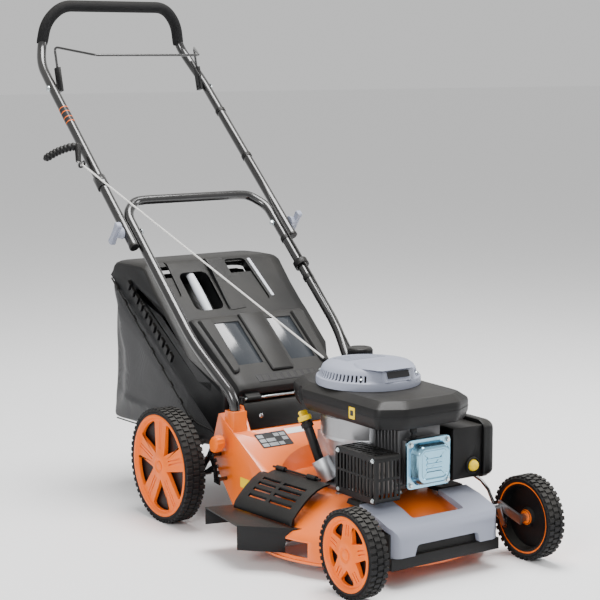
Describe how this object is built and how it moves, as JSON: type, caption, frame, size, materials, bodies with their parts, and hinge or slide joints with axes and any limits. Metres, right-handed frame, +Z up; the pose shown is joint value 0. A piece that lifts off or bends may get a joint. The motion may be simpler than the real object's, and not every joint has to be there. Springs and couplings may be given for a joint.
{
  "type": "brush mower",
  "caption": "Walk-behind petrol rotary mower with round steel deck, rear grass collector, side deflector, folding tube handle and height adjuster.",
  "frame": {"origin": "centre of the footprint on the ground plane", "axes": "+Z up, front of the mower towards -Y, handle towards +Y, the operator's right hand side towards -X"},
  "size_m": [0.6464, 1.6038, 1.2738],
  "materials": {
    "orange_paint": "gloss",
    "black_plastic": "satin",
    "satin_plastic": "satin",
    "black_tube": "gloss",
    "grey_plastic": "satin",
    "tyre_rubber": "matte",
    "foam": "matte",
    "zinc": "satin",
    "engine_alloy": "cast",
    "steel": "satin",
    "yellow_plastic": "gloss",
    "bag_cloth": "woven",
    "smoke_window": "gloss",
    "rope": "braided",
    "orange_plastic": "gloss"
  },
  "bodies": {
    "frame": {"deck": "orange_paint", "hinge_panel": "black_plastic", "flap_hinge_pin": "zinc", "bumper_base": "black_plastic", "front_bumper": "grey_plastic", "notch_plate": "black_tube", "crankcase": "engine_alloy", "cylinder": "engine_alloy", "valve_cover": "zinc", "spark_plug": "black_plastic", "muffler": "steel", "muffler_guard": "black_tube", "carburettor": "engine_alloy", "air_filter_box": "black_plastic", "air_filter_cover": "black_plastic", "shroud_tank": "black_plastic", "recoil_cover": "grey_plastic", "filler_tube": "black_plastic", "lower_handle": "black_tube", "starter_rope": "rope", "brake_cable": "black_plastic", "cable_clip": "black_plastic"},
    "rear_axle": {"rear_axle": "steel"},
    "front_axle": {"front_axle": "steel"},
    "height_lever": {"height_lever": "black_tube", "height_knob": "orange_plastic"},
    "link_rod": {"link_rod": "black_tube"},
    "front_wheel_right": {"front_tyre_right": "tyre_rubber", "front_rim_right": "orange_plastic"},
    "front_wheel_left": {"front_tyre_left": "tyre_rubber", "front_rim_left": "orange_plastic"},
    "rear_wheel_right": {"rear_tyre_right": "tyre_rubber", "rear_rim_right": "orange_plastic"},
    "rear_wheel_left": {"rear_tyre_left": "tyre_rubber", "rear_rim_left": "orange_plastic"},
    "crank": {"crankshaft": "steel", "blade": "steel", "blade_bolt": "zinc", "flywheel": "engine_alloy"},
    "starter_pulley": {"recoil_pulley": "black_plastic"},
    "upper_handle": {"upper_handle": "black_tube", "foam_grip": "foam", "rope_guide": "black_tube"},
    "clamp_knob_right": {"clamp_knob_right": "grey_plastic"},
    "clamp_knob_left": {"clamp_knob_left": "grey_plastic"},
    "bail": {"bail_lever_right": "black_plastic", "bail_lever_left": "black_plastic", "bail_wire": "black_tube"},
    "starter_grip": {"starter_grip": "black_plastic"},
    "rear_flap": {"rear_flap": "satin_plastic", "flap_window_right": "smoke_window", "flap_window_left": "smoke_window"},
    "collector": {"collector_top": "satin_plastic", "collector_handle": "grey_plastic", "grass_bag": "bag_cloth"},
    "side_cover": {"side_cover": "black_plastic"},
    "side_chute": {"side_chute": "black_plastic"},
    "primer_bulb": {"primer_bulb": "yellow_plastic"},
    "fuel_cap": {"fuel_cap": "black_plastic"},
    "dipstick_cap": {"dipstick_cap": "yellow_plastic"}
  },
  "joints": [
    {"name": "rear_axle_swing", "type": "hinge", "parent": "frame", "child": "rear_axle", "pos_m": [0.03118, -0.02691, 0.156], "axis": [-1, 0, 0], "range_deg": [0, 40]},
    {"name": "front_axle_swing", "type": "hinge", "parent": "frame", "child": "front_axle", "pos_m": [0.03118, -0.64491, 0.112], "axis": [1, 0, 0], "range_deg": [0, 40]},
    {"name": "height_lever_swing", "type": "hinge", "parent": "frame", "child": "height_lever", "pos_m": [-0.19682, -0.05091, 0.128], "axis": [1, 0, 0], "range_deg": [0, 40]},
    {"name": "link_rod_slide", "type": "slide", "parent": "frame", "child": "link_rod", "axis": [0, 1, 0], "range_m": [0, 0.0262]},
    {"name": "front_wheel_right_spin", "type": "hinge", "parent": "front_axle", "child": "front_wheel_right", "pos_m": [-0.21282, -0.70591, 0.096], "axis": [1, 0, 0], "continuous": true},
    {"name": "front_wheel_left_spin", "type": "hinge", "parent": "front_axle", "child": "front_wheel_left", "pos_m": [0.27518, -0.70591, 0.096], "axis": [1, 0, 0], "continuous": true},
    {"name": "rear_wheel_right_spin", "type": "hinge", "parent": "rear_axle", "child": "rear_wheel_right", "pos_m": [-0.23582, 0.03409, 0.14], "axis": [1, 0, 0], "continuous": true},
    {"name": "rear_wheel_left_spin", "type": "hinge", "parent": "rear_axle", "child": "rear_wheel_left", "pos_m": [0.29818, 0.03409, 0.14], "axis": [1, 0, 0], "continuous": true},
    {"name": "crank_spin", "type": "hinge", "parent": "frame", "child": "crank", "pos_m": [0.03118, -0.42591, 0.2], "axis": [0, 0, -1], "continuous": true},
    {"name": "starter_pull", "type": "slide", "parent": "upper_handle", "child": "starter_grip", "axis": [-0.414, 0.712, 0.5672], "range_m": [0, 0.4], "stiffness_N_per_m": 30, "deforming": ["starter_rope"]},
    {"name": "starter_pulley_spin", "type": "hinge", "parent": "frame", "child": "starter_pulley", "pos_m": [0.03118, -0.42591, 0.399], "axis": [0, 0, -1], "range_deg": [0, 420]},
    {"name": "handle_fold", "type": "hinge", "parent": "frame", "child": "upper_handle", "pos_m": [0.03118, 0.27359, 0.6841], "axis": [1, 0, 0], "range_deg": [0, 143], "deforming": ["starter_rope", "brake_cable"]},
    {"name": "clamp_knob_right_turn", "type": "hinge", "parent": "frame", "child": "clamp_knob_right", "pos_m": [-0.22882, 0.27359, 0.6841], "axis": [-1, 0, 0], "continuous": true},
    {"name": "clamp_knob_left_turn", "type": "hinge", "parent": "frame", "child": "clamp_knob_left", "pos_m": [0.29118, 0.27359, 0.6841], "axis": [1, 0, 0], "continuous": true},
    {"name": "bail_squeeze", "type": "hinge", "parent": "upper_handle", "child": "bail", "pos_m": [0.03118, 0.67409, 1.037], "axis": [-1, 0, 0], "range_deg": [0, 26], "stiffness_Nm_per_rad": 3, "springref_deg": -5.73, "deforming": ["brake_cable"]},
    {"name": "rear_flap_lift", "type": "hinge", "parent": "frame", "child": "rear_flap", "pos_m": [0.03118, -0.11091, 0.31], "axis": [1, 0, 0], "range_deg": [0, 82], "stiffness_Nm_per_rad": 1.5, "springref_deg": -17.19, "deforming": ["starter_rope"]},
    {"name": "collector_withdraw", "type": "slide", "parent": "frame", "child": "collector", "axis": [0, 1, 0], "range_m": [0, 0.4]},
    {"name": "side_cover_lift", "type": "hinge", "parent": "frame", "child": "side_cover", "pos_m": [-0.12582, -0.36591, 0.1855], "axis": [-0.0958, 0.9954, 0], "range_deg": [0, 75], "stiffness_Nm_per_rad": 0.4, "springref_deg": -17.19},
    {"name": "side_chute_withdraw", "type": "slide", "parent": "frame", "child": "side_chute", "axis": [-1, 0, 0], "range_m": [0, 0.12]},
    {"name": "primer_press", "type": "slide", "parent": "frame", "child": "primer_bulb", "axis": [0, 1, 0], "range_m": [0, 0.007], "stiffness_N_per_m": 400},
    {"name": "fuel_cap_lift", "type": "slide", "parent": "frame", "child": "fuel_cap", "axis": [0, 0, 1], "range_m": [0, 0.03]},
    {"name": "dipstick_withdraw", "type": "slide", "parent": "frame", "child": "dipstick_cap", "axis": [-0.1616, 0.3517, 0.9221], "range_m": [0, 0.06]}
  ],
  "couplings": [
    {"joint": "front_axle_swing", "follows": "rear_axle_swing", "ratio": 1},
    {"joint": "height_lever_swing", "follows": "rear_axle_swing", "ratio": 1},
    {"joint": "link_rod_slide", "follows": "rear_axle_swing", "m_per_rad": 0.0371},
    {"joint": "starter_pulley_spin", "follows": "starter_pull", "rad_per_m": 18}
  ]
}
